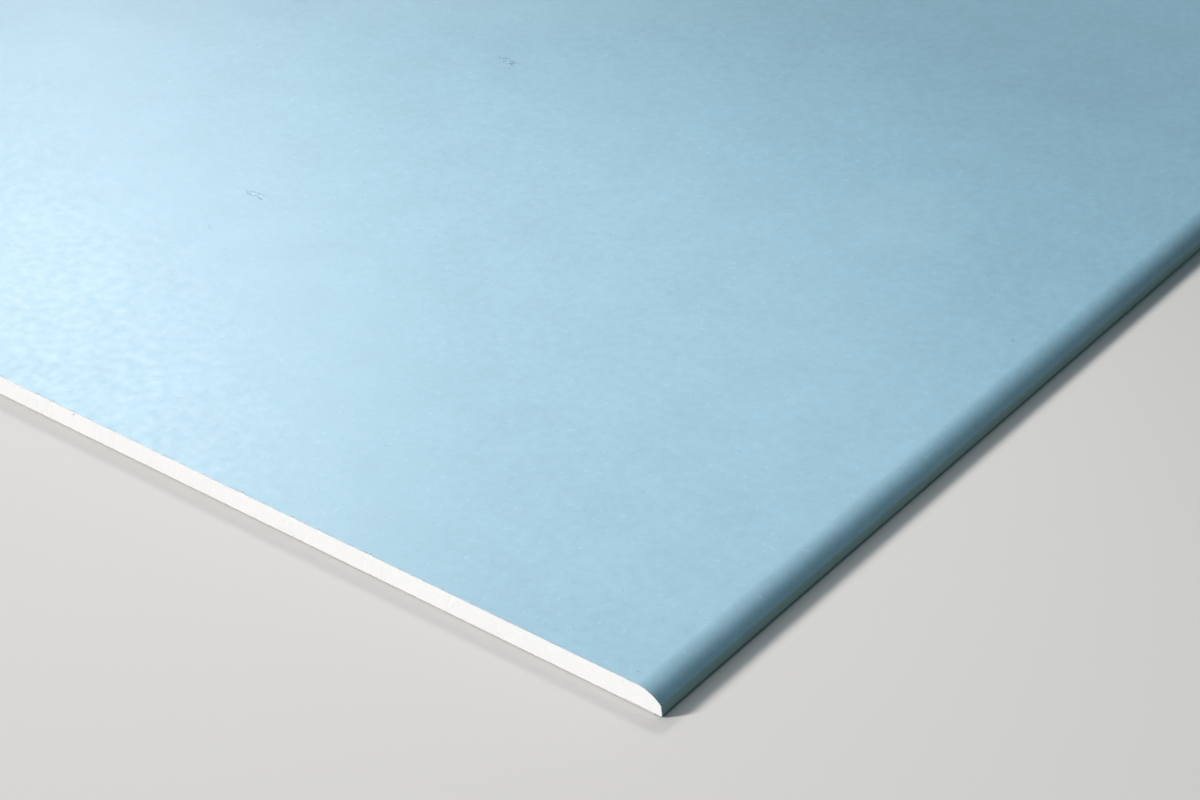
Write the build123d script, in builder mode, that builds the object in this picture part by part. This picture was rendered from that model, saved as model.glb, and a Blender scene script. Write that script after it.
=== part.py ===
from build123d import *
import os

# A gypsum plasterboard with half-round long edges and square-cut ends, lying face up.
# Millimetres. The origin is the middle of the underside, +Y runs along the board, +Z is up.

# The board as it is sold
board_length = 2000.0
board_width = 1250.0
board_thickness = 12.5

# The two papers
face_paper_thickness = 0.4
back_paper_thickness = 0.4
flap_width = 22.0
back_paper_inset = 4.0

# The half-round edge: a wide arc off the face, a crease, and a nose that leans out towards the back
edge_arc_width = 13.9
nose_height = 6.5
nose_lean = 0.7
core_crease_radius = 0.8
core_fold_radius = 0.9

half_width = board_width / 2
flap_underside = back_paper_thickness

# The arc leaves the face tangentially and drops to the crease at the top of the nose
crease_x = half_width - nose_lean
arc_start_x = crease_x - edge_arc_width
arc_drop = board_thickness - nose_height
arc_radius = (edge_arc_width**2 + arc_drop**2) / (2 * arc_drop)

# The paper turns under the board round a small fold, which is the widest place of the board
crease_radius = core_crease_radius + face_paper_thickness
fold_radius = core_fold_radius + face_paper_thickness
fold_x = half_width - fold_radius


def wrapped_section(inset):
    """Cross-section of the board with its wrap of face paper, moved inwards by inset."""
    with BuildSketch() as section:
        with BuildLine():
            fold_centre = (fold_x, flap_underside + fold_radius)
            fold_circle = CenterArc(fold_centre, fold_radius, -90, 180, mode=Mode.PRIVATE)
            nose = ConstrainedLines(
                fold_circle,
                (crease_x, nose_height),
                selector=lambda tangents: tangents.sort_by(Axis.X)[-1],
            )
            underside = Line((0, flap_underside), (fold_x, flap_underside))
            TangentArc(underside @ 1, nose @ 0, tangent=underside % 1)
            shoulder = RadiusArc(nose @ 1, (arc_start_x, board_thickness), -arc_radius)
            Line(shoulder @ 1, (0, board_thickness))
            mirror(about=Plane.YZ)
        make_face()
        creases = section.vertices().group_by(Axis.Y)[-2]
        fillet(creases, radius=crease_radius)
        if inset > 0:
            offset(amount=-inset, mode=Mode.REPLACE)
    return section.sketch


def gap_between_flaps():
    """Where the wrap is open underneath: one paper deep, from flap to flap."""
    with BuildSketch() as gap:
        with Locations((0, flap_underside)):
            Rectangle(
                board_width - 2 * flap_width,
                face_paper_thickness,
                align=(Align.CENTER, Align.MIN),
            )
    return gap.sketch


# The gypsum fills the wrap, and swells by one paper between the two flaps
with BuildPart() as gypsum_core:
    with BuildSketch(Plane.XZ):
        add(wrapped_section(face_paper_thickness))
        add(gap_between_flaps())
    extrude(amount=board_length / 2, both=True)

# The face paper is one bent strip: face, both edges, and a flap folded under each edge
with BuildPart() as face_paper:
    with BuildSketch(Plane.XZ):
        add(wrapped_section(0))
        add(wrapped_section(face_paper_thickness), mode=Mode.SUBTRACT)
        add(gap_between_flaps(), mode=Mode.SUBTRACT)
    extrude(amount=board_length / 2, both=True)

# The back paper is glued over the gypsum and the flaps, and stops short of the edges
with BuildPart() as back_paper:
    with BuildSketch(Plane.XY):
        Rectangle(board_width - 2 * back_paper_inset, board_length)
    extrude(amount=back_paper_thickness)

gypsum_core.part.label = "gypsum_core"
face_paper.part.label = "face_paper"
back_paper.part.label = "back_paper"

os.makedirs("parts", exist_ok=True)
export_step(gypsum_core.part, "parts/gypsum_core.step")
export_step(face_paper.part, "parts/face_paper.step")
export_step(back_paper.part, "parts/back_paper.step")
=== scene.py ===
import math

import bpy
import numpy as np
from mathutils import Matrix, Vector, noise


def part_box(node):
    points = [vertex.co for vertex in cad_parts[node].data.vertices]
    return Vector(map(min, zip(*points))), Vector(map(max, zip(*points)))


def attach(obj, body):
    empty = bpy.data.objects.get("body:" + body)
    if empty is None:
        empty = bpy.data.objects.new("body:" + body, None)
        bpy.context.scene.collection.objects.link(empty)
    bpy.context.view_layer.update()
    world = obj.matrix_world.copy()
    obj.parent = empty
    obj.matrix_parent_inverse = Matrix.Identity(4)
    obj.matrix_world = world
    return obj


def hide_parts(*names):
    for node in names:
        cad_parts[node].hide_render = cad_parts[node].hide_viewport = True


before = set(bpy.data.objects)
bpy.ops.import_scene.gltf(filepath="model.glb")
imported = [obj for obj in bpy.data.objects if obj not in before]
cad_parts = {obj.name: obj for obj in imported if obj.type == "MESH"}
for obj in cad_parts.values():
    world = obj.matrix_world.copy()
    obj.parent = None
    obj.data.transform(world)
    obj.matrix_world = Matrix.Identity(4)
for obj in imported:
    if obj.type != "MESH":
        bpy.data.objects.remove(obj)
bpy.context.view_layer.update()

# A blue-faced plasterboard lying face up on a pale floor. Blender's own units are metres,
# and the board's sizes and patterns are worked out in millimetres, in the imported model's frame.
mm = 0.001
scene = bpy.context.scene

lowCorner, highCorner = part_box("face_paper")
halfWidth = highCorner.x / mm
halfLength = highCorner.y / mm
topLevel = highCorner.z / mm
flapLevel = lowCorner.z / mm
print("board:", round(2 * halfWidth), "x", round(2 * halfLength), "mm")

# Sizes of the long edges, as they are made, in mm
board = {
    "edgeArcWidth": 13.9,    # from the flat face to the crease
    "noseHeight": 6.5,       # from the underside to the crease
    "noseLean": 0.7,         # that the crease stands back from the fold
    "creaseRadius": 1.2,
    "foldRadius": 1.3,
    "paperThickness": 0.4,
    "flapWidth": 22.0,
}
edgeSteps = {"arc": 26, "crease": 5, "nose": 7, "fold": 7}    # straight steps in each stretch of an edge
sharpAngle = 38.0    # degrees: faces that meet at more than this show a hard line


def linearFromHex(text):
    channels = [int(text[i:i + 2], 16) / 255 for i in (1, 3, 5)]
    return tuple(c / 12.92 if c <= 0.04045 else ((c + 0.055) / 1.055) ** 2.4 for c in channels) + (1.0,)


def addNode(tree, kind, inputs=(), **settings):
    # One node with its settings. Its inputs, in order or by name, get values or links, and a node
    # that is given as an input is linked by its first output
    made = tree.nodes.new(kind)
    for name, value in settings.items():
        setattr(made, name, value)
    given = inputs if isinstance(inputs, dict) else dict(enumerate(inputs))
    for name, value in given.items():
        if isinstance(value, bpy.types.Node):
            value = value.outputs[0]
        if isinstance(value, bpy.types.NodeSocket):
            tree.links.new(value, made.inputs[name])
        else:
            made.inputs[name].default_value = value
    return made


def newMaterial(name):
    material = bpy.data.materials.new(name)
    material.use_nodes = True
    material.node_tree.nodes.clear()
    return material, material.node_tree


# Camera: fitted to the photo's straight lines, level, no shift
camera = {
    "spot": (1119.2, -1690.1, 712.2),    # mm
    "turn": 37.48,                       # degrees to the left of +Y
    "lookDown": 32.63,                   # degrees
    "lens": 73.65,                       # mm
    "sensorWidth": 36.0,                 # mm
}


def addCamera():
    data = bpy.data.cameras.new("camera")
    data.lens = camera["lens"]
    data.sensor_width = camera["sensorWidth"]
    viewer = bpy.data.objects.new("camera", data)
    viewer.location = Vector(camera["spot"]) * mm
    viewer.rotation_euler = (math.radians(90 - camera["lookDown"]), 0, math.radians(camera["turn"]))
    scene.collection.objects.link(viewer)
    scene.camera = viewer


addCamera()
print("camera:", camera["lens"], "mm lens")


def edgeOutline(steps):
    # Right-hand edge seen along the board, from the face round to the flap: (x, z, normal x, normal z)
    drop = topLevel - board["noseHeight"]
    arcRadius = (board["edgeArcWidth"] ** 2 + drop ** 2) / (2 * drop)
    crease = Vector((halfWidth - board["noseLean"], board["noseHeight"]))
    arcCentre = Vector((crease.x - board["edgeArcWidth"], topLevel - arcRadius))
    foldCentre = Vector((halfWidth - board["foldRadius"], flapLevel + board["foldRadius"]))

    # The nose runs from the crease to touch the fold
    toFold = foldCentre - crease
    noseAngle = math.atan2(toFold.y, toFold.x) + math.asin(board["foldRadius"] / toFold.length)
    along = Vector((math.cos(noseAngle), math.sin(noseAngle)))
    outward = Vector((-along.y, along.x))
    noseTurn = math.atan2(outward.y, outward.x)

    # The crease's rounding touches the arc from inside, and the nose
    start = crease - outward * board["creaseRadius"] - arcCentre
    slide = start.dot(along)
    reach = math.sqrt(slide ** 2 - start.length_squared + (arcRadius - board["creaseRadius"]) ** 2)
    creaseCentre = arcCentre + start - along * (slide + reach)
    arcEnd = math.atan2(creaseCentre.y - arcCentre.y, creaseCentre.x - arcCentre.x)
    points = []

    def addArc(centre, radius, first, last, count):
        for i in range(count + 1):
            angle = first + (last - first) * i / count
            normal = Vector((math.cos(angle), math.sin(angle)))
            place = centre + normal * radius
            points.append((place.x, place.y, normal.x, normal.y))

    addArc(arcCentre, arcRadius, math.pi / 2, arcEnd, steps["arc"])
    points.pop()    # the crease starts with the same point
    addArc(creaseCentre, board["creaseRadius"], arcEnd, noseTurn, steps["crease"])
    noseStart = Vector(points[-1][:2])
    noseEnd = foldCentre + outward * board["foldRadius"]
    for i in range(1, steps["nose"]):
        place = noseStart.lerp(noseEnd, i / steps["nose"])
        points.append((place.x, place.y, outward.x, outward.y))
    addArc(foldCentre, board["foldRadius"], noseTurn, -math.pi / 2, steps["fold"])
    points.append((halfWidth - board["flapWidth"], flapLevel, 0.0, -1.0))
    return points


def meshPiece(name, vertices, faces, materials, faceMaterials=None, sheet=None):
    mesh = bpy.data.meshes.new(name)
    mesh.from_pydata(vertices, [], faces)
    for material in materials:
        mesh.materials.append(material)
    if faceMaterials is not None:
        mesh.polygons.foreach_set("material_index", faceMaterials)
    if sheet is not None:    # each vertex's place on the unrolled sheet, in metres
        loops = np.empty(len(mesh.loops), dtype=np.int32)
        mesh.loops.foreach_get("vertex_index", loops)
        corners = np.asarray(sheet, dtype=np.float32)[loops]
        mesh.uv_layers.new(name="sheet").data.foreach_set("uv", corners.ravel())
    mesh.polygons.foreach_set("use_smooth", [True] * len(mesh.polygons))
    mesh.set_sharp_from_angle(angle=math.radians(sharpAngle))
    mesh.update()
    piece = bpy.data.objects.new(name, mesh)
    scene.collection.objects.link(piece)
    return piece


# Blue face paper: one sheet over the face, round both edges and under them as flaps. All in mm
facePaperMake = {
    "faceStep": 1.25,         # between points of the cut edge
    "coarseEvery": 10,        # of those, one in so many goes on down the board
    "rowStep": 40.0,          # between rows down the board
    "endRows": (1.3, 2.6),    # from the cut to its finely divided rows
    "firstRow": 12.0,         # from the cut to the first coarse row
    "cutWander": 0.10,        # that the knife's cut wanders, over the length below
    "wanderLength": 38.0,
    "cutFuzz": 0.05,          # its fine unevenness
    "fuzzLength": 2.1,
    "cutNick": 0.28,          # depth of the small nicks
    "nickLength": 4.7,
    "nickLevel": 0.28,        # level of the noise above which there is a nick
    "edgeDip": 0.10,          # that the folded edge dips in and out along the board
    "dipLength": 90.0,
    "dipHeight": 12.0,
    "nearNicks": [            # places where the near cut is torn: x, half width, depth
        (214.0, 1.3, 0.35), (226.0, 1.0, 0.30), (364.5, 1.6, 0.45), (399.0, 2.0, 0.30),
        (416.5, 1.1, 0.35), (447.5, 0.9, 0.25), (450.5, 1.3, 0.40), (496.0, 0.9, 0.20),
    ],
    "tearShape": 0.6,         # under 1 makes a torn place blunter than a notch
}


def cutDepth(x, end):    # how far the cut paper stands back from the board's full length, mm
    make = facePaperMake
    row = end * 4.5      # keeps the two cuts unlike
    wander = 0.5 + 0.5 * noise.noise(Vector((x / make["wanderLength"], row, 0.0)))
    fuzz = 0.5 + 0.5 * noise.noise(Vector((x / make["fuzzLength"], row, 5.0)))
    peak = noise.noise(Vector((x / make["nickLength"], row, 9.0))) - make["nickLevel"]
    nick = max(0.0, peak) / (1 - make["nickLevel"])
    torn = 0.0
    if end < 0:
        for middle, half, deep in make["nearNicks"]:
            torn = max(torn, deep * max(0.0, 1 - abs(x - middle) / half) ** make["tearShape"])
    return max(make["cutWander"] * wander + make["cutFuzz"] * fuzz + make["cutNick"] * nick, torn)


def paperStations():
    # Points across the board, up round the left edge, over the face and down round the right one:
    # (x, z, normal x, normal z, whether it goes on down the board)
    right = edgeOutline(edgeSteps)
    arcStart = right[0][0]
    every = facePaperMake["coarseEvery"]
    faceCount = max(1, round(2 * arcStart / facePaperMake["faceStep"] / every)) * every
    stations = [(-x, z, -nx, nz, True) for x, z, nx, nz in reversed(right)]
    for i in range(1, faceCount):
        stations.append((-arcStart + 2 * arcStart * i / faceCount, topLevel, 0.0, 1.0, i % every == 0))
    return stations + [(x, z, nx, nz, True) for x, z, nx, nz in right]


def facePaper(material, cutMaterial):
    make = facePaperMake
    stations = paperStations()
    across = [0.0]    # place of each station on the unrolled sheet, 0 in the middle of the face
    for i in range(1, len(stations)):
        across.append(across[-1] + math.dist(stations[i - 1][:2], stations[i][:2]))
    across = [place - across[-1] / 2 for place in across]

    vertices, sheet = [], []
    rows = []         # for each row: outer and inner vertex indices by station

    def addRow(level, coarse=False, cut=0):    # cut: the end, -1 or 1, whose cut this row is
        outer, inner = {}, {}
        for k, (x, z, nx, nz, kept) in enumerate(stations):
            if coarse and not kept:
                continue
            y = level - cut * cutDepth(x, cut) if cut else level
            dip = 0.0
            if coarse:
                side = 3.7 if x > 0 else 8.1    # keeps the two edges unlike
                wave = noise.noise(Vector((y / make["dipLength"], side, z / make["dipHeight"])))
                share = min(1.0, (topLevel - z) / (topLevel - board["noseHeight"]))
                dip = make["edgeDip"] * share * (0.5 + 0.5 * wave)
            outer[k] = len(vertices)
            inner[k] = len(vertices) + 1
            for depth in (dip, dip + board["paperThickness"]):
                vertices.append(((x - nx * depth) * mm, y * mm, (z - nz * depth) * mm))
                sheet.append((across[k] * mm, y * mm))
        rows.append((outer, inner))

    reach = halfLength - make["firstRow"]
    bodyCount = round(2 * reach / make["rowStep"])
    addRow(-halfLength, cut=-1)
    for depth in make["endRows"]:
        addRow(-halfLength + depth)
    for j in range(bodyCount + 1):
        addRow(-reach + 2 * reach * j / bodyCount, coarse=True)
    for depth in reversed(make["endRows"]):
        addRow(halfLength - depth)
    addRow(halfLength, cut=1)

    faces, kinds = [], []
    blueSide, pliesSide = 0, 1

    def addFace(loop, kind):
        faces.append(loop)
        kinds.append(kind)

    for (outerA, innerA), (outerB, innerB) in zip(rows, rows[1:]):
        common = [k for k in outerA if k in outerB]
        for k, after in zip(common, common[1:]):
            spanA = [i for i in range(k, after + 1) if i in outerA]
            spanB = [i for i in range(k, after + 1) if i in outerB]
            addFace([outerA[i] for i in spanA] + [outerB[i] for i in reversed(spanB)], blueSide)
            addFace([innerA[i] for i in reversed(spanA)] + [innerB[i] for i in spanB], pliesSide)
        first, last = common[0], common[-1]
        addFace([innerA[first], outerA[first], outerB[first], innerB[first]], pliesSide)
        addFace([outerA[last], innerA[last], innerB[last], outerB[last]], pliesSide)
    for (outer, inner), flip in ((rows[0], False), (rows[-1], True)):
        for k in range(1, len(stations)):
            loop = [outer[k], outer[k - 1], inner[k - 1], inner[k]]
            addFace(loop[::-1] if flip else loop, pliesSide)
    return meshPiece("facePaper", vertices, faces, [material, cutMaterial], kinds, sheet)


# Gypsum core: closed slab inside the paper, with the cut's pores and crumbled rim at both ends. All in mm
coreMake = {
    "step": 0.85,          # between points across the cut
    "rows": 13,            # from bottom to top of the cut
    "slack": 0.02,         # kept clear of the paper all round, so that the two never flicker
    "flapStep": 0.01,      # half width of the step over the flap's inner edge
    "setBack": 0.12,       # that the gypsum stands behind the paper's edge
    "grain": 0.07,         # depth of the grainy roughness
    "grainWaves": 0.9,     # a mm
    "fineShare": 0.6,      # of that depth, which finer grain adds
    "fineWaves": 2.3,      # a mm
    "pore": 0.55,          # depth of the larger air bubbles
    "poreCells": 0.31,     # a mm
    "poreReach": 0.16,     # of a cell, which its bubble takes
    "rim": 0.30,           # depth that crumbles away at the rim
    "rimReach": 0.9,       # from the rim inwards
    "lumpWaves": (0.35, 0.2),    # a mm, of the crumbling across and up
    "brokenDeeper": 0.2,   # under a torn place, than the paper
    "brokenBeside": 0.4,   # beyond its ends
    "brokenDown": 1.4,     # from the rim downwards
}


def gypsumDepth(x, z, low, high, end):    # how far the sawn gypsum stands back from the full length, mm
    make = coreMake
    place = Vector((x, z, end * 37.0))        # keeps the two ends unlike
    depth = make["setBack"] + make["grain"] * (0.5 + 0.5 * noise.noise(place * make["grainWaves"]))
    depth += make["grain"] * make["fineShare"] * (0.5 + 0.5 * noise.noise(place * make["fineWaves"]))
    bubble = noise.voronoi(place * make["poreCells"])[0][0]
    depth += make["pore"] * max(0.0, make["poreReach"] - bubble) / make["poreReach"]
    across, up = make["lumpWaves"]
    lumps = max(0.0, noise.noise(Vector((x * across, z * up, end * 11.0))))
    depth += make["rim"] * (lumps * max(0.0, 1 - min(z - low, high - z) / make["rimReach"]))
    if end < 0 and high - z < make["brokenDown"]:    # broken out under the torn places
        for middle, half, deep in facePaperMake["nearNicks"]:
            beside = max(0.0, 1 - abs(x - middle) / (half + make["brokenBeside"]))
            depth += (deep + make["brokenDeeper"]) * beside * (1 - (high - z) / make["brokenDown"])
    return depth


def gypsumCore(material):
    make = coreMake
    inset = board["paperThickness"] + make["slack"]
    right = [(x - nx * inset, z - nz * inset) for x, z, nx, nz in edgeOutline(edgeSteps)]
    arcStart, topZ = right[0]
    innerFlap = halfWidth - board["flapWidth"]
    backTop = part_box("back_paper")[1].z / mm + make["slack"]
    flapTop = flapLevel + inset
    rim = right[:-1]    # face to the bottom of the fold
    widest = int(np.argmax([x for x, z in rim]))
    upperX, upperZ = np.array(rim[:widest + 1]).T
    lowerX, lowerZ = np.array(rim[widest:][::-1]).T
    columns = [*np.linspace(0, arcStart, max(2, round(arcStart / make["step"]))), *upperX[1:]]
    columns += [innerFlap - make["flapStep"], innerFlap + make["flapStep"]]
    columns = sorted(set(round(x, 5) for x in columns))
    columns = [-x for x in reversed(columns) if x > 0] + columns

    def heights(x):
        a = abs(x)
        high = topZ if a <= arcStart else float(np.interp(a, upperX, upperZ))
        if a > lowerX[0]:
            low = float(np.interp(a, lowerX, lowerZ))
        else:
            low = flapTop if a > innerFlap else backTop
        return low, max(high, low)

    vertices, faces = [], []

    def addFace(*corners):
        loop = list(dict.fromkeys(corners))    # a corner may repeat at the widest line of the edge
        if len(loop) > 2:
            faces.append(loop)

    ends = []
    count = make["rows"]
    for end in (-1, 1):
        grid = []
        for x in columns:
            low, high = heights(x)
            column = []
            for r in range(count + 1):
                if column and high - low < 0.001:    # the widest line is one point high
                    column.append(column[0])
                    continue
                z = low + (high - low) * (0.5 - 0.5 * math.cos(math.pi * r / count))    # closer at both rims
                y = end * (halfLength - gypsumDepth(x, z, low, high, end))
                column.append(len(vertices))
                vertices.append((x * mm, y * mm, z * mm))
            grid.append(column)
        ends.append(grid)
        for a, b in zip(grid, grid[1:]):
            for r in range(count):
                loop = [a[r], b[r], b[r + 1], a[r + 1]]
                addFace(*(loop if end < 0 else loop[::-1]))
    near, far = ends
    for i in range(len(columns) - 1):
        addFace(near[i][count], near[i + 1][count], far[i + 1][count], far[i][count])
        addFace(near[i + 1][0], near[i][0], far[i][0], far[i + 1][0])
    return meshPiece("gypsumCore", vertices, faces, [material])


# Blue paper: its colours, wear, painted light and shade, and relief. Lengths in mm
faceLook = {
    "paper": "#89B1C3",          # dyed in the mass
    "paleFibre": "#CBE0E9",      # undyed fibres that lie in the sheet
    "darkFibre": "#5F8DA6",      # fibres that took more dye
    "speck": "#3F4E57",          # dark bits of the recycled stock
    "scuffAndShade": "#54778D",          # where the top ply is rubbed, and the painted shade of the deep patches and along the cuts
    "burnishAndSheen": "#CFE2EA",        # raised fibres inside a scuff, and the painted sheen of the pale patches
    "wornAndHighlight": "#B4BCC0",           # the crease, rubbed grey, with a painted highlight along it
    "torn": "#5E5C54",           # torn plies at the nicks of the cut, with the painted shadow of their raised flaps
    "dust": "#ACC1A8",           # greyish-green film on the upright strip below the crease: dust, and painted shade coloured by the dark surroundings
    "roughness": 0.40,
    "roughnessSpread": 0.03,     # more or less of it from floc to floc
    "ior": 1.5,
    "relief": 0.032,             # height of the flocs and fibres
    "toothShare": 0.5,           # of that height
    "fleckShare": 0.4,
    "sway": 1.8,                 # that fibres and scuffs are bent aside
    "swayWaves": 0.45,           # a mm
    "creaseLineHalfWidth": 0.55,          # half width of the pale line along each crease
    "creaseClean": (885, 925),   # along from the board's middle, between which that line fades out
    "creaseLineShare": (0.15, 0.50),   # least and most of the crease colour
    "creaseLineCloud": (0.38, 0.62),   # levels of the cloud noise that give them
    "dustAndShadeShare": 0.51,
    "dustAndShadeStart": (-0.3, 0.9),    # beyond the crease, between which the film sets in
    "dustRagged": 3.0,           # that its border wanders
    "rim": 1.2,                  # painted shadow line along each cut
    "cutShadowShare": 0.55,
    "cutShadowPatches": (0.1, 1.0),    # least and most of that painted shadow
    "cutShadowFloc": (0.42, 0.66),     # levels of the floc noise that give them
    "tornAndShadowShare": 0.8,
    "tornLeast": 0.4,            # strength of a torn place, to which its depth is added
    "tornInset": 0.3,            # from the cut to the middle of a torn place
    "tornReach": 1.1,            # its half length, to which its depth is added
}

# The sheet's formation: size of a lump (mm), detail, share that it lightens or darkens the colour
formation = {
    "cloud": {"size": 40.0, "detail": 3.0, "tint": 0.030},
    "floc": {"size": 7.0, "detail": 3.0, "tint": 0.044},
    "tooth": {"size": 1.1, "detail": 1.0},    # the real one is finer: drawn as coarse as it needs to show
}

# Fibres: a real one is about 0.03 mm wide and wouldn't show, so each is drawn as wide as a bundle of them.
# Cell (mm, one fibre a cell), half length and half width (mm), share of the cells that have one, strength
fibreKinds = {
    "fleck": {"cell": 15.0, "long": 1.8, "wide": 1.0, "share": 0.35, "tint": 0.22},
    "pale": {"cell": 6.6, "long": 2.8, "wide": 0.60, "share": 0.6, "tint": 0.18},
    "dark": {"cell": 7.2, "long": 3.0, "wide": 0.60, "share": 0.6, "tint": 0.26},
    "speck": {"cell": 40.0, "long": 0.55, "wide": 0.45, "share": 0.5, "tint": 0.60},
}

# Rubbed places on the face: middle x, y, half length, half width (mm), turn from +X (degrees), strength
rubbedPlaces = [
    (140.0, -765.5, 3.5, 0.9, 10, 0.50),    # the nearer scuff: a hairpin that is closed on the left
    (143.5, -765.0, 4.0, 0.9, 15, 0.60),
    (148.0, -764.5, 4.0, 0.9, 0, 0.80),
    (152.5, -764.5, 4.5, 0.9, 5, 0.50),
    (140.5, -767.0, 4.5, 0.9, -25, 0.70),
    (144.5, -768.0, 4.0, 1.0, -10, 0.70),
    (147.5, -767.5, 2.5, 0.9, 50, 0.70),
    (150.0, -767.5, 4.0, 0.9, -20, 0.65),
    (153.0, -768.5, 3.0, 1.3, -5, 1.00),
    (139.5, -524.0, 3.0, 1.0, -50, 0.55),   # the farther scuff: broken, broader to the right
    (144.0, -522.0, 4.0, 1.0, 25, 0.90),
    (146.0, -526.0, 2.5, 0.9, 15, 0.80),
    (150.0, -523.0, 4.5, 2.0, -15, 0.45),
    (152.0, -525.5, 4.5, 1.2, 40, 1.00),
    (152.0, -527.0, 2.5, 1.0, -15, 0.80),
    (154.5, -532.0, 1.0, 0.9, 35, 0.50),
    (156.0, -522.5, 2.0, 0.9, -35, 0.35),
    (155.0, -813.0, 5.5, 0.7, -30, 0.45),   # hair scratches
    (189.5, -715.0, 3.5, 0.7, 70, 0.40),
    (156.0, -738.0, 7.0, 0.6, -35, 0.30),
    (-33.5, -535.5, 11.0, 6.0, 35, 0.16),   # a smudge
    (-2.0, -510.0, 3.0, 1.8, 30, 0.28),
]

# Raised pale fibres inside the two scuffs, in the same terms
burnishedPlaces = [
    (145.0, -766.5, 3.0, 0.8, 15, 0.12),
    (150.0, -766.0, 5.0, 0.9, -10, 0.25),
    (148.0, -525.0, 1.5, 0.9, 30, 0.35),
    (147.0, -520.0, 1.5, 1.0, 35, 0.45),
]

# Broad faint patches of painted sheen (pale) and painted shade (deep), where the light on the sheet is a
# little stronger or weaker, in the same terms
paintedSheenPatches = [
    (475, -550, 70, 55, 110, 0.05),
    (80, -920, 160, 105, 150, 0.08),
    (115, -415, 235, 80, 35, 0.07),
]
paintedShadePatches = [
    (455, -350, 70, 60, 85, 0.06),
    (570, -680, 45, 40, 105, 0.05),
    (565, -585, 65, 30, 80, 0.05),
    (-90, -590, 110, 50, 35, 0.06),
    (-205, -665, 95, 75, 160, 0.06),
    # painted shade where the light falls off towards the far corner
    (560, -60, 420, 270, 60, 0.12),
]

# Single dark specks on the face: x, y, radius (mm)
placedSpecks = [(599.0, -867.5, 0.55), (592.0, -428.0, 0.70), (606.0, -992.5, 0.60), (598.0, -865.0, 0.30)]

smooth = {"interpolation_type": "SMOOTHSTEP"}
noiseSpan = (0.25, 0.75)     # nearly all of a noise lies between these levels
spotEdge = (1.0, 0.25)       # of a spot's radius, between which it sets in
fibreEdge = (1.0, 0.15)      # the same for a fibre
fibreStrength = (0.3, 1.0)   # of the faintest and the strongest fibre


def joined(tree, operation, parts):    # chains several values with one operation
    total = parts[0]
    for part in parts[1:]:
        total = addNode(tree, "ShaderNodeMath", (total, part), operation=operation)
    return total


def addFibres(tree, place, kind):    # 1 on a fibre, 0 beside it; place in mm
    make = fibreKinds[kind]
    cellInputs = {"Vector": place, "Scale": 1 / make["cell"]}
    cells = addNode(tree, "ShaderNodeTexVoronoi", cellInputs, voronoi_dimensions="2D").outputs
    own = addNode(tree, "ShaderNodeVectorMath", (place, cells["Position"]), operation="SUBTRACT")
    chance = addNode(tree, "ShaderNodeSeparateColor", (cells["Color"],)).outputs
    turn = addNode(tree, "ShaderNodeMath", (chance[0], math.pi), operation="MULTIPLY")
    turned = addNode(tree, "ShaderNodeVectorRotate", {"Vector": own, "Angle": turn}, rotation_type="Z_AXIS")
    shape = (1 / make["long"], 1 / make["wide"], 0)
    shrunk = addNode(tree, "ShaderNodeVectorMath", (turned, shape), operation="MULTIPLY")
    distance = addNode(tree, "ShaderNodeVectorMath", (shrunk,), operation="LENGTH").outputs["Value"]
    body = addNode(tree, "ShaderNodeMapRange", (distance, *fibreEdge), **smooth)
    kept = addNode(tree, "ShaderNodeMath", (chance[1], make["share"]), operation="LESS_THAN")
    strength = addNode(tree, "ShaderNodeMapRange", (chance[2], 0.0, 1.0, *fibreStrength))
    return joined(tree, "MULTIPLY", [body, kept, strength])


def addSpot(tree, place, x, y, long, wide, turn, strength):    # soft ellipse at a place on the sheet
    ellipse = {"Location": (x, y, 0), "Rotation": (0, 0, math.radians(turn)), "Scale": (long, wide, 1)}
    own = addNode(tree, "ShaderNodeMapping", {"Vector": place, **ellipse}, vector_type="TEXTURE")
    distance = addNode(tree, "ShaderNodeVectorMath", (own,), operation="LENGTH").outputs["Value"]
    return addNode(tree, "ShaderNodeMapRange", (distance, *spotEdge, 0.0, strength), **smooth)


def addSpots(tree, place, spots):    # the strongest of many soft ellipses
    return joined(tree, "MAXIMUM", [addSpot(tree, place, *spot) for spot in spots])


def addTint(tree, below, colour, amount, share=1.0):    # lays a colour, a hex value, over another
    part = addNode(tree, "ShaderNodeMath", (amount, share), operation="MULTIPLY")
    inputs = {0: part, 6: below, 7: linearFromHex(colour)}
    return addNode(tree, "ShaderNodeMix", inputs, data_type="RGBA").outputs[2]


def addBrightness(tree, below, lumps, share):    # lightens and darkens by a share about a noise's middle
    level = addNode(tree, "ShaderNodeMapRange", (lumps, *noiseSpan, 1 - share, 1 + share))
    inputs = {0: 1.0, 6: below, 7: level}
    return addNode(tree, "ShaderNodeMix", inputs, data_type="RGBA", blend_type="MULTIPLY").outputs[2]


def addSurface(tree, look, colour, roughness, height):    # shader and relief under a finished colour
    relief = {"Height": height, "Distance": look["relief"] * mm, "Strength": 1.0}
    bump = addNode(tree, "ShaderNodeBump", relief)
    shader = addNode(tree, "ShaderNodeBsdfPrincipled", {
        "Base Color": colour, "Roughness": roughness, "IOR": look["ior"], "Normal": bump,
    })
    addNode(tree, "ShaderNodeOutputMaterial", {"Surface": shader})


def creaseReach():    # from the middle of the face to the middle of the crease, along the paper, mm
    steps = edgeSteps | {"crease": 6}    # an even number has a point in the middle
    outline = edgeOutline(steps)[:steps["arc"] + steps["crease"] // 2 + 1]
    line = [(0.0, topLevel)] + [point[:2] for point in outline]
    return sum(math.dist(a, b) for a, b in zip(line, line[1:]))


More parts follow.
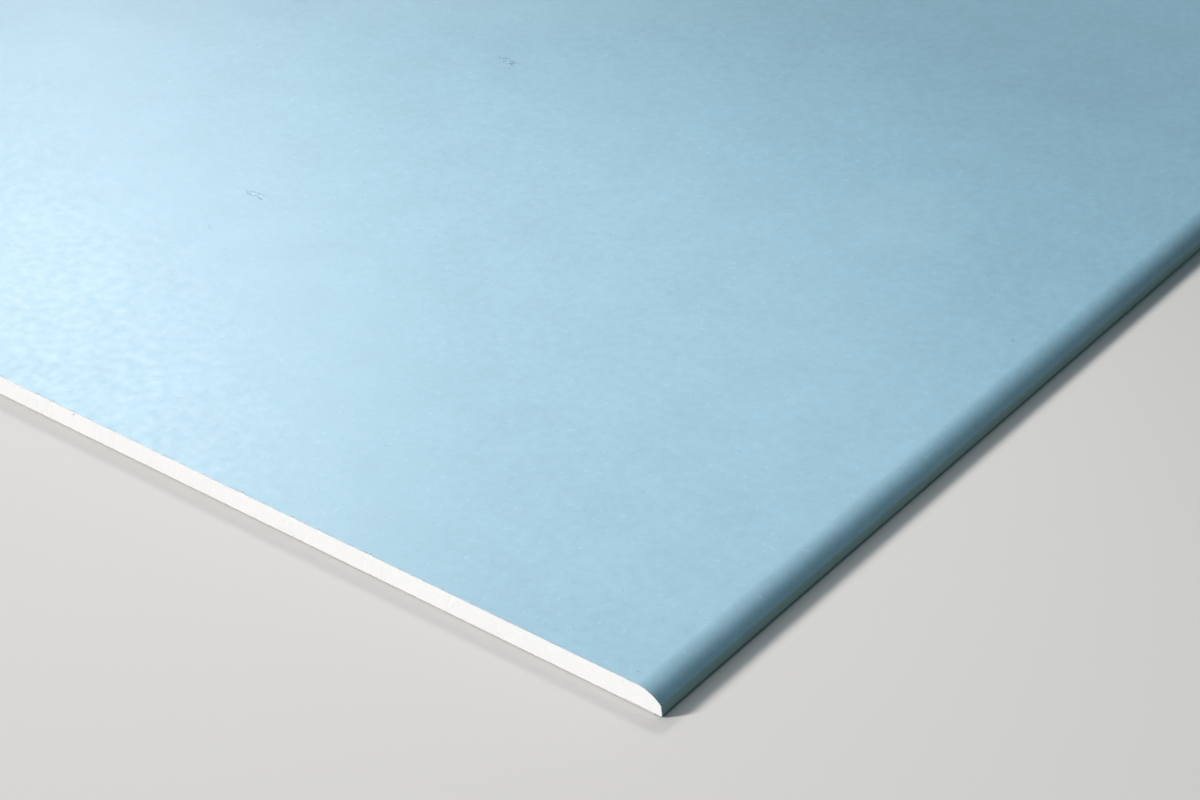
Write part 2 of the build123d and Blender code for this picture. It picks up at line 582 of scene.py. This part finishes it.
def blueFacePaper():
    # Multi-ply facing paper, dyed and machine-glazed: dull blue with faint fibres and a broad soft sheen
    look = faceLook
    material, tree = newMaterial("blueFacingPaperMachineGlazed")
    sheet = addNode(tree, "ShaderNodeUVMap", uv_map="sheet")
    flat = addNode(tree, "ShaderNodeVectorMath", {0: sheet, "Scale": 1 / mm}, operation="SCALE")

    # Fibres and scuffs are drawn on a slightly bent sheet, so that they aren't straight
    waves = {"Vector": flat, "Scale": look["swayWaves"], "Detail": 0.0}
    sway = addNode(tree, "ShaderNodeTexNoise", waves, noise_dimensions="2D").outputs["Color"]
    sway = addNode(tree, "ShaderNodeVectorMath", (sway, (0.5, 0.5, 0.5)), operation="SUBTRACT")
    swing = (look["sway"], look["sway"], 0)
    sway = addNode(tree, "ShaderNodeVectorMath", (sway, swing), operation="MULTIPLY")
    bent = addNode(tree, "ShaderNodeVectorMath", (flat, sway), operation="ADD")

    lumps = {}
    for name, kind in formation.items():
        inputs = {"Vector": flat, "Scale": 1 / kind["size"], "Detail": kind["detail"]}
        lumps[name] = addNode(tree, "ShaderNodeTexNoise", inputs, noise_dimensions="2D")
    fibres = {kind: addFibres(tree, bent, kind) for kind in fibreKinds}

    # Marks that are placed one by one
    dots = [addSpot(tree, flat, x, y, radius, radius, 0, 1.0) for x, y, radius in placedSpecks]
    specks = joined(tree, "MAXIMUM", [fibres["speck"], *dots])
    # Torn places: dark spots of torn plies and the painted shadow of their raised flaps
    tornAndShadowSpots = []
    for x, half, deep in facePaperMake["nearNicks"]:
        strength = min(1.0, look["tornLeast"] + deep)
        tornAndShadowSpots.append((x, look["tornInset"] - halfLength, half, deep + look["tornReach"], 0, strength))
    torn = addSpots(tree, flat, tornAndShadowSpots)

    # The crease's pale line (rubbed paper and painted highlight), the painted shadow line along the cuts and
    # the film below the crease (dust and painted shade)
    place = addNode(tree, "ShaderNodeSeparateXYZ", (flat,)).outputs
    aside = addNode(tree, "ShaderNodeMath", (place[0],), operation="ABSOLUTE")
    along = addNode(tree, "ShaderNodeMath", (place[1],), operation="ABSOLUTE")
    beyond = addNode(tree, "ShaderNodeMath", (aside, creaseReach()), operation="SUBTRACT")
    fromCrease = addNode(tree, "ShaderNodeMath", (beyond,), operation="ABSOLUTE")
    cloudy = (lumps["cloud"], *look["creaseLineCloud"], *look["creaseLineShare"])
    wornAndHighlight = joined(tree, "MULTIPLY", [
        addNode(tree, "ShaderNodeMapRange", (fromCrease, look["creaseLineHalfWidth"], 0.0), **smooth),
        addNode(tree, "ShaderNodeMapRange", (along, *look["creaseClean"], 1.0, 0.0), **smooth),
        addNode(tree, "ShaderNodeMapRange", cloudy, **smooth),
    ])
    patchy = (lumps["floc"], *look["cutShadowFloc"], *look["cutShadowPatches"])
    rim = joined(tree, "MULTIPLY", [
        addNode(tree, "ShaderNodeMapRange", (along, halfLength - look["rim"], halfLength), **smooth),
        addNode(tree, "ShaderNodeMapRange", patchy, **smooth),
    ])
    border = (lumps["floc"], look["dustRagged"], -look["dustRagged"] / 2)    # the noise's middle is 0.5
    ragged = addNode(tree, "ShaderNodeMath", border, operation="MULTIPLY_ADD")
    dust = joined(tree, "ADD", [beyond, ragged])
    dust = addNode(tree, "ShaderNodeMapRange", (dust, *look["dustAndShadeStart"]), **smooth)

    colour = linearFromHex(look["paper"])
    for kind, hue in (("pale", "paleFibre"), ("fleck", "paleFibre"), ("dark", "darkFibre")):
        colour = addTint(tree, colour, look[hue], fibres[kind], fibreKinds[kind]["tint"])
    for name in ("cloud", "floc"):
        colour = addBrightness(tree, colour, lumps[name], formation[name]["tint"])
    # painted sheen and painted shade in broad faint patches
    colour = addTint(tree, colour, look["burnishAndSheen"], addSpots(tree, flat, paintedSheenPatches))
    colour = addTint(tree, colour, look["scuffAndShade"], addSpots(tree, flat, paintedShadePatches))
    # the upright strip: a film of dust and painted shade
    colour = addTint(tree, colour, look["dust"], dust, look["dustAndShadeShare"])
    # the crease: rubbed grey and a painted highlight
    colour = addTint(tree, colour, look["wornAndHighlight"], wornAndHighlight)
    colour = addTint(tree, colour, look["scuffAndShade"], addSpots(tree, bent, rubbedPlaces))
    colour = addTint(tree, colour, look["burnishAndSheen"], addSpots(tree, bent, burnishedPlaces))
    # a painted shadow line along each cut, broken into patches
    colour = addTint(tree, colour, look["scuffAndShade"], rim, look["cutShadowShare"])
    # torn plies, and the painted shadow of their flaps
    colour = addTint(tree, colour, look["torn"], torn, look["tornAndShadowShare"])
    colour = addTint(tree, colour, look["speck"], specks, fibreKinds["speck"]["tint"])

    tooth = addNode(tree, "ShaderNodeMath", (lumps["tooth"], look["toothShare"]), operation="MULTIPLY")
    raised = addNode(tree, "ShaderNodeMath", (fibres["fleck"], look["fleckShare"]), operation="MULTIPLY")
    height = joined(tree, "ADD", [lumps["floc"], tooth, raised])
    smoothest = look["roughness"] - look["roughnessSpread"]
    roughest = look["roughness"] + look["roughnessSpread"]
    roughness = addNode(tree, "ShaderNodeMapRange", (lumps["floc"], *noiseSpan, smoothest, roughest))
    addSurface(tree, look, colour, roughness, height)
    return material


# Plain papers: the cut plies of the face paper and the backing paper. Lengths in mm
plainPaperLook = {
    "plies": {"paper": "#D3D2D6", "fibre": "#A9B4BA"},      # the paper and its darker fibres
    "backing": {"paper": "#C3BBB0", "fibre": "#8F877C"},
    "paleFibre": "#EDE9E3",
    "paleShare": 0.35,
    "fibreShare": 0.4,
    "flocSize": 5.0,
    "flocDetail": 4.0,
    "floc": 0.06,         # share that it lightens or darkens
    "roughness": 0.85,
    "ior": 1.5,
    "relief": 0.05,
}


def recycledPaper(name, colours):
    # Unbleached recycled board paper: matt, mottled, with loose pale and dark fibres
    look = plainPaperLook
    material, tree = newMaterial(name)
    place = addNode(tree, "ShaderNodeTexCoord").outputs["Object"]
    flat = addNode(tree, "ShaderNodeVectorMath", {0: place, "Scale": 1 / mm}, operation="SCALE")
    pale = addFibres(tree, flat, "pale")
    dark = addFibres(tree, flat, "dark")
    inputs = {"Vector": flat, "Scale": 1 / look["flocSize"], "Detail": look["flocDetail"]}
    floc = addNode(tree, "ShaderNodeTexNoise", inputs)
    colour = addTint(tree, linearFromHex(colours["paper"]), look["paleFibre"], pale, look["paleShare"])
    colour = addTint(tree, colour, colours["fibre"], dark, look["fibreShare"])
    colour = addBrightness(tree, colour, floc, look["floc"])
    addSurface(tree, look, colour, look["roughness"], floc)
    return material


# Sawn gypsum: its colours, pores and grain. Lengths in mm
gypsumLook = {
    "gypsum": "#F1EDEC",
    "pore": "#D0CBC6",             # the shade inside a pore
    "poreShare": 0.55,
    "poreCell": 1.9,               # one pore a cell
    "poreEdge": (0.20, 0.08),      # of a cell, between which a pore sets in
    "grainSize": 0.625,            # real crystals are far finer: drawn as coarse as they need to show
    "grainDetail": 4.0,
    "patchSize": 14.0,
    "patchDetail": 3.0,
    "mottle": 0.015,               # share that grain and patches lighten or darken
    "grit": "#77736E",             # one dark grain in the near cut
    "gritSpot": (241.5, -1000.0, 10.5),
    "gritEdge": (0.8, 0.3),
    "gritShare": 0.8,
    "roughness": 0.95,
    "ior": 1.52,
    "relief": 0.06,
}


def castGypsum():
    # Foamed and set gypsum, cut with a saw: near white and dead matt, with fine pores
    look = gypsumLook
    material, tree = newMaterial("castGypsumSawn")
    place = addNode(tree, "ShaderNodeTexCoord").outputs["Object"]
    flat = addNode(tree, "ShaderNodeVectorMath", {0: place, "Scale": 1 / mm}, operation="SCALE")
    inputs = {"Vector": flat, "Scale": 1 / look["poreCell"]}
    pores = addNode(tree, "ShaderNodeTexVoronoi", inputs, feature="F1").outputs["Distance"]
    hole = addNode(tree, "ShaderNodeMapRange", (pores, *look["poreEdge"]), **smooth)
    inputs = {"Vector": flat, "Scale": 1 / look["grainSize"], "Detail": look["grainDetail"]}
    grain = addNode(tree, "ShaderNodeTexNoise", inputs)
    inputs = {"Vector": flat, "Scale": 1 / look["patchSize"], "Detail": look["patchDetail"]}
    patch = addNode(tree, "ShaderNodeTexNoise", inputs)
    away = addNode(tree, "ShaderNodeVectorMath", (flat, look["gritSpot"]), operation="DISTANCE")
    grit = addNode(tree, "ShaderNodeMapRange", (away.outputs["Value"], *look["gritEdge"]), **smooth)
    colour = addTint(tree, linearFromHex(look["gypsum"]), look["pore"], hole, look["poreShare"])
    colour = addTint(tree, colour, look["grit"], grit, look["gritShare"])
    colour = addBrightness(tree, colour, patch, look["mottle"])
    colour = addBrightness(tree, colour, grain, look["mottle"])
    sunk = addNode(tree, "ShaderNodeMath", (hole, -1.0, grain), operation="MULTIPLY_ADD")
    addSurface(tree, look, colour, look["roughness"], sunk)
    return material


blue = blueFacePaper()
plies = recycledPaper("facingPaperPliesCut", plainPaperLook["plies"])
backing = recycledPaper("recycledBackingPaper", plainPaperLook["backing"])
gypsum = castGypsum()
print("materials:", len((blue, plies, backing, gypsum)))

paperPiece = facePaper(blue, plies)
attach(paperPiece, "root")
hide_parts("face_paper")
print("face paper:", len(paperPiece.data.polygons), "faces")

corePiece = gypsumCore(gypsum)
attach(corePiece, "root")
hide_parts("gypsum_core")
print("gypsum core:", len(corePiece.data.polygons), "faces")

# The backing paper keeps the solid's own shape
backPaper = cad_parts["back_paper"]
for paperSlot in backPaper.material_slots:
    paperSlot.material = backing
print("back paper:", len(backPaper.data.polygons), "faces")

# Frayed fibres that hang from the cut plies over the gypsum, along both cut ends
frayMake = {
    "inputs": {                # the tree's named inputs, lengths in metres
        "Spacing": 1.1 * mm,
        "Share": 0.6,          # of the places that have a fibre
        "Length": 0.9 * mm,
        "Radius": 0.03 * mm,
        "Jitter": 0.25 * mm,
        "Seed": 11,
    },
    "bow": 0.3,                # of the length that a fibre bulges aside
    "steps": 4,                # along a fibre
    "sides": 4,                # round a fibre
    "lean": 1.2,               # radians to either side
    "twist": 0.05,
    "shortest": 0.35,          # of the full length
    "rootInset": 0.06,         # mm from the paper's cut to the roots
}


def frayTree(material):
    make = frayMake
    tree = bpy.data.node_groups.new("frayedFibres", "GeometryNodeTree")
    tree.interface.new_socket("Geometry", in_out="INPUT", socket_type="NodeSocketGeometry")
    for name in make["inputs"]:
        kind = "NodeSocketInt" if name == "Seed" else "NodeSocketFloat"
        tree.interface.new_socket(name, in_out="INPUT", socket_type=kind)
    tree.interface.new_socket("Geometry", in_out="OUTPUT", socket_type="NodeSocketGeometry")
    given = addNode(tree, "NodeGroupInput").outputs
    seed = given["Seed"]

    # Roots: points along the cut, shifted a little along it
    path = addNode(tree, "GeometryNodeMeshToCurve", {"Mesh": given["Geometry"]})
    spaced = {"Curve": path, "Length": given["Spacing"]}
    roots = addNode(tree, "GeometryNodeResampleCurve", spaced, mode="LENGTH")
    back = addNode(tree, "ShaderNodeMath", (given["Jitter"], -1.0), operation="MULTIPLY")
    least = addNode(tree, "ShaderNodeCombineXYZ", {"X": back})
    most = addNode(tree, "ShaderNodeCombineXYZ", {"X": given["Jitter"]})
    shifts = {0: least, 1: most, "Seed": seed}
    shift = addNode(tree, "FunctionNodeRandomValue", shifts, data_type="FLOAT_VECTOR")
    roots = addNode(tree, "GeometryNodeSetPosition", {"Geometry": roots, "Offset": shift})

    # One fibre: a bowed line that hangs down, with a thin round section
    down = addNode(tree, "ShaderNodeMath", (given["Length"], -1.0), operation="MULTIPLY")
    bow = addNode(tree, "ShaderNodeMath", (given["Length"], make["bow"]), operation="MULTIPLY")
    half = addNode(tree, "ShaderNodeMath", (down, 0.5), operation="MULTIPLY")
    bend = addNode(tree, "ShaderNodeCombineXYZ", {"X": bow, "Z": half})
    tip = addNode(tree, "ShaderNodeCombineXYZ", {"Z": down})
    line = addNode(tree, "GeometryNodeCurveQuadraticBezier", {
        "Resolution": make["steps"], "Start": (0, 0, 0), "Middle": bend, "End": tip,
    })
    section = {"Resolution": make["sides"], "Radius": given["Radius"]}
    ring = addNode(tree, "GeometryNodeCurvePrimitiveCircle", section)
    swept = {"Curve": line, "Profile Curve": ring, "Fill Caps": True}
    fibre = addNode(tree, "GeometryNodeCurveToMesh", swept)

    # Some of the roots get one, each with its own lean and length
    chance = {"Probability": given["Share"], "Seed": seed}
    kept = addNode(tree, "FunctionNodeRandomValue", chance, data_type="BOOLEAN").outputs[3]
    turns = {0: (0, -make["lean"], -make["twist"]), 1: (0, make["lean"], make["twist"]), "Seed": seed}
    turn = addNode(tree, "FunctionNodeRandomValue", turns, data_type="FLOAT_VECTOR")
    sizes = {2: make["shortest"], 3: 1.0, "Seed": seed}
    size = addNode(tree, "FunctionNodeRandomValue", sizes, data_type="FLOAT").outputs[1]
    placed = addNode(tree, "GeometryNodeInstanceOnPoints", {
        "Points": roots, "Selection": kept, "Instance": fibre, "Rotation": turn, "Scale": size,
    })
    real = addNode(tree, "GeometryNodeRealizeInstances", (placed,))
    clad = addNode(tree, "GeometryNodeSetMaterial", {"Geometry": real, "Material": material})
    addNode(tree, "NodeGroupOutput", (clad,))
    return tree


def frayedFibres(material):
    reach = halfWidth - board["noseLean"] - board["edgeArcWidth"]
    steps = round(2 * reach / facePaperMake["faceStep"])
    vertices, edges = [], []
    for end in (-1, 1):
        for i in range(steps + 1):
            x = -reach + 2 * reach * i / steps
            if i:
                edges.append((len(vertices) - 1, len(vertices)))
            y = end * (halfLength - cutDepth(x, end) - frayMake["rootInset"])
            vertices.append((x * mm, y * mm, (topLevel - board["paperThickness"]) * mm))
    mesh = bpy.data.meshes.new("frayedFibres")
    mesh.from_pydata(vertices, edges, [])
    fray = bpy.data.objects.new("frayedFibres", mesh)
    scene.collection.objects.link(fray)
    grower = fray.modifiers.new("fray", "NODES")
    grower.node_group = frayTree(material)
    for item in grower.node_group.interface.items_tree:
        if item.in_out == "INPUT" and item.name in frayMake["inputs"]:
            grower[item.identifier] = frayMake["inputs"][item.name]
    grown = fray.evaluated_get(bpy.context.evaluated_depsgraph_get())
    fray.data = bpy.data.meshes.new_from_object(grown)
    fray.modifiers.clear()
    return fray


frayPiece = frayedFibres(plies)
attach(frayPiece, "root")
print("frayed fibres:", len(frayPiece.data.polygons), "faces")

# Floor and room: what the camera and reflections see is paler than what lights the board
studio = {
    "floorSize": 60.0,       # m
    "floorDrop": 0.0002,     # m that the floor stays below the board
    "floorShown": "#D3CDC9",
    "floorBounce": "#8C8B83",    # what it throws back on the board
    "roomShown": "#B9BAB8",
    "roomLight": "#B3EAFF",      # what it lights the board with
    "roomLevel": 0.16,
}


def addSeen(tree):    # 1 for what the camera, a reflection or a clear body shows, 0 for light on the board
    path = addNode(tree, "ShaderNodeLightPath").outputs
    rays = ("Is Camera Ray", "Is Glossy Ray", "Is Transmission Ray")
    return joined(tree, "MAXIMUM", [path[ray] for ray in rays])


def studioFloor():
    # Matt floor paint: it takes the board's soft shadow and mirrors nothing
    half = studio["floorSize"] / 2
    z = -studio["floorDrop"]
    corners = [(-half, -half, z), (half, -half, z), (half, half, z), (-half, half, z)]
    floor = meshPiece("studioFloor", corners, [[0, 1, 2, 3]], [])
    material, tree = newMaterial("studioFloorPaint")
    shown = addNode(tree, "ShaderNodeBsdfDiffuse", {"Color": linearFromHex(studio["floorShown"])})
    bounced = addNode(tree, "ShaderNodeBsdfDiffuse", {"Color": linearFromHex(studio["floorBounce"])})
    mix = addNode(tree, "ShaderNodeMixShader", (addSeen(tree), bounced, shown))
    addNode(tree, "ShaderNodeOutputMaterial", {"Surface": mix})
    floor.data.materials.append(material)


def studioRoom():
    world = bpy.data.worlds.new("studio")
    scene.world = world
    world.use_nodes = True
    tree = world.node_tree
    tree.nodes.clear()
    inputs = {"Color": linearFromHex(studio["roomLight"]), "Strength": studio["roomLevel"]}
    light = addNode(tree, "ShaderNodeBackground", inputs)
    inputs = {"Color": linearFromHex(studio["roomShown"]), "Strength": 1.0}
    shown = addNode(tree, "ShaderNodeBackground", inputs)
    mix = addNode(tree, "ShaderNodeMixShader", (addSeen(tree), light, shown))
    addNode(tree, "ShaderNodeOutputWorld", {"Surface": mix})


studioFloor()
studioRoom()
print("floor and room:", studio["floorSize"], "m wide")

# A broad soft lamp over the near end, and two suns whose light is even over the whole board
nearLamp = {
    "spot": (0.15, -0.67, 0.71),    # m
    "aim": (0.25, -1.66, 0.0),
    "size": 1.23,                   # m across
    "spread": 128,                  # degrees
    "power": 2.74,                  # W
}
suns = {                            # degrees, the azimuth to the left of +Y, and W/m2
    "side": {"azimuth": 53, "elevation": 35, "width": 8, "power": 0.80},
    "front": {"azimuth": 138, "elevation": 25, "width": 8, "power": 4.20},
}
sunDistance = 8.0                   # m, though only a sun's direction counts


def addLamp(name, kind, power, spot, aim):
    data = bpy.data.lights.new(name, kind)
    data.energy = power
    lamp = bpy.data.objects.new(name, data)
    lamp.location = spot
    lamp.rotation_euler = (Vector(aim) - Vector(spot)).to_track_quat("-Z", "Y").to_euler()
    scene.collection.objects.link(lamp)
    return data


near = addLamp("near", "AREA", nearLamp["power"], nearLamp["spot"], nearLamp["aim"])
near.shape = "DISK"
near.size = nearLamp["size"]
near.spread = math.radians(nearLamp["spread"])
for sunName, sun in suns.items():
    turn, rise = math.radians(sun["azimuth"]), math.radians(sun["elevation"])
    toSun = Vector((-math.sin(turn) * math.cos(rise), math.cos(turn) * math.cos(rise), math.sin(rise)))
    far = addLamp(sunName, "SUN", sun["power"], sunDistance * toSun, (0, 0, 0))
    far.angle = math.radians(sun["width"])

scene.view_settings.view_transform = "Standard"
print("lamps:", 1 + len(suns))
